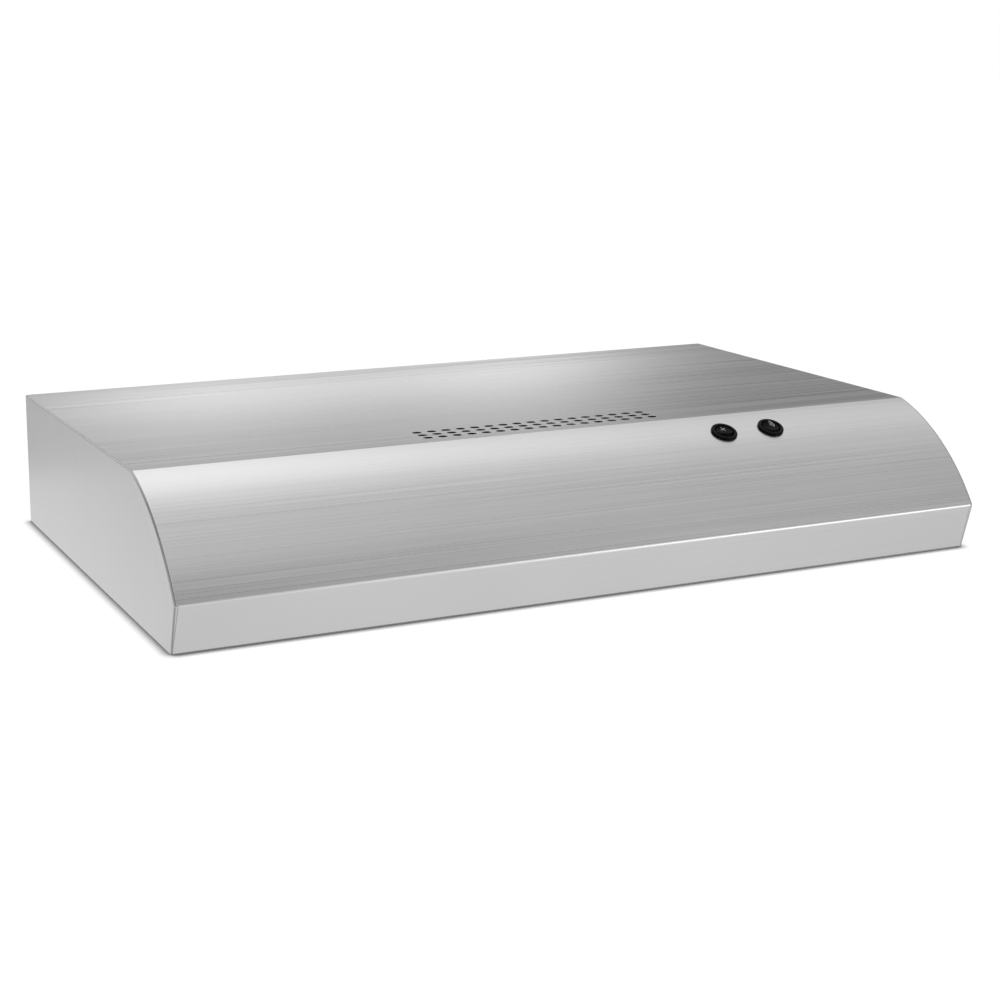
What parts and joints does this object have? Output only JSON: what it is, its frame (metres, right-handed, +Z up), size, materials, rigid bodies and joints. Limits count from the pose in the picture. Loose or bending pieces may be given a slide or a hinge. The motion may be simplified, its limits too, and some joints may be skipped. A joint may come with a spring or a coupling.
{
  "type": "under cabinet range hood",
  "caption": "Low sheet steel range hood with a curved visor, mesh grease filters, a centrifugal blower to a rear duct with a damper, a lamp behind a hinged lens and round rocker switches.",
  "frame": {"origin": "centre of the wall face, which is the centre of the wall bolt pattern and of the rear duct opening", "axes": "+X to the right seen from the front, +Y into the wall, +Z up; the front lip faces -Y"},
  "size_m": [0.76, 0.4817, 0.125],
  "materials": {
    "brushed_stainless": "fine brushed grain across the width",
    "side_stainless": "fine grain stainless sheet",
    "galvanised_sheet": "bare galvanised steel sheet",
    "pan_sheet": "satin stainless sheet",
    "spring_steel": "bright spring steel",
    "zinc_screws": "zinc plated",
    "green_screw": "green passivated",
    "filter_aluminium": "satin",
    "mesh_aluminium": "layered expanded mesh",
    "blower_paint": "black enamel",
    "wheel_aluminium": "satin",
    "motor_steel": "grey enamel",
    "black_rubber": "matte",
    "white_plastic": "matte",
    "damper_aluminium": "mill finish",
    "black_bezel": "gloss black",
    "black_rocker": "satin black",
    "brass_tab": "plain brass",
    "white_enamel": "white enamel",
    "ceramic_socket": "glazed white",
    "lamp_cap_metal": "plain",
    "bulb_glass": "frosted",
    "lens_plastic": "ribbed translucent",
    "grey_cable": "matte grey PVC"
  },
  "bodies": {
    "canopy": {"canopy_wrapper": "brushed_stainless", "left_side_panel": "side_stainless", "right_side_panel": "side_stainless", "back_panel": "galvanised_sheet", "back_flanges": "galvanised_sheet", "wall_doublers": "galvanised_sheet", "bottom_pan": "pan_sheet", "pan_brackets": "galvanised_sheet", "pan_screws": "zinc_screws", "rear_filter_rail": "pan_sheet", "filter_divider": "pan_sheet", "filter_catches": "spring_steel", "blower_volute": "blower_paint", "blower_cover": "galvanised_sheet", "inlet_ring": "blower_paint", "blower_brackets": "galvanised_sheet", "blower_screws": "zinc_screws", "motor_can": "motor_steel", "motor_mount": "galvanised_sheet", "motor_grommets": "black_rubber", "motor_screws": "zinc_screws", "run_capacitor": "white_plastic", "capacitor_clip": "galvanised_sheet", "outlet_duct": "galvanised_sheet", "duct_gasket": "black_rubber", "duct_rivets": "zinc_screws", "damper_pin": "zinc_screws", "vent_baffle": "galvanised_sheet", "wiring_box": "galvanised_sheet", "wiring_cover": "pan_sheet", "wiring_screw": "zinc_screws", "terminal_block": "white_plastic", "ground_screw": "green_screw", "fan_switch_body": "black_bezel", "fan_switch_tabs": "brass_tab", "light_switch_body": "black_bezel", "light_switch_tabs": "brass_tab", "lamp_housing": "white_enamel", "lamp_socket": "ceramic_socket", "lamp_cap": "lamp_cap_metal", "lamp_bulb": "bulb_glass", "motor_lead": "grey_cable", "switch_lead": "grey_cable", "lamp_lead": "grey_cable", "wire_clips": "white_plastic"},
    "fan": {"fan_wheel": "wheel_aluminium", "wheel_nut": "zinc_screws", "motor_shaft": "zinc_screws"},
    "damper": {"damper_flap": "damper_aluminium"},
    "left_filter": {"left_filter_frame": "filter_aluminium", "left_filter_mesh": "mesh_aluminium", "left_filter_pull": "filter_aluminium"},
    "right_filter": {"right_filter_frame": "filter_aluminium", "right_filter_mesh": "mesh_aluminium", "right_filter_pull": "filter_aluminium"},
    "fan_switch_rocker": {"fan_rocker": "black_rocker"},
    "light_switch_rocker": {"light_rocker": "black_rocker"},
    "lens": {"lamp_lens": "lens_plastic"}
  },
  "joints": [
    {"name": "fan_spin", "type": "hinge", "parent": "canopy", "child": "fan", "pos_m": [-0.09257, -0.235, 0], "axis": [0, 0, 1], "continuous": true},
    {"name": "left_filter_swing", "type": "hinge", "parent": "canopy", "child": "left_filter", "pos_m": [-0.1755, -0.028, -0.0515], "axis": [1, 0, 0], "range_deg": [0, 40]},
    {"name": "right_filter_swing", "type": "hinge", "parent": "canopy", "child": "right_filter", "pos_m": [0.1755, -0.028, -0.0515], "axis": [1, 0, 0], "range_deg": [0, 40]},
    {"name": "damper_swing", "type": "hinge", "parent": "canopy", "child": "damper", "pos_m": [0, -0.08, 0.037], "axis": [1, 0, 0], "range_deg": [0, 75]},
    {"name": "fan_rocker_tilt", "type": "hinge", "parent": "canopy", "child": "fan_switch_rocker", "pos_m": [0.21, -0.3987, 0.05022], "axis": [1, 0, 0], "range_deg": [-12, 12]},
    {"name": "light_rocker_tilt", "type": "hinge", "parent": "canopy", "child": "light_switch_rocker", "pos_m": [0.16, -0.3987, 0.05022], "axis": [1, 0, 0], "range_deg": [0, 16]},
    {"name": "lens_swing", "type": "hinge", "parent": "canopy", "child": "lens", "pos_m": [0, -0.3752, -0.0552], "axis": [1, 0, 0], "range_deg": [0, 80]}
  ]
}
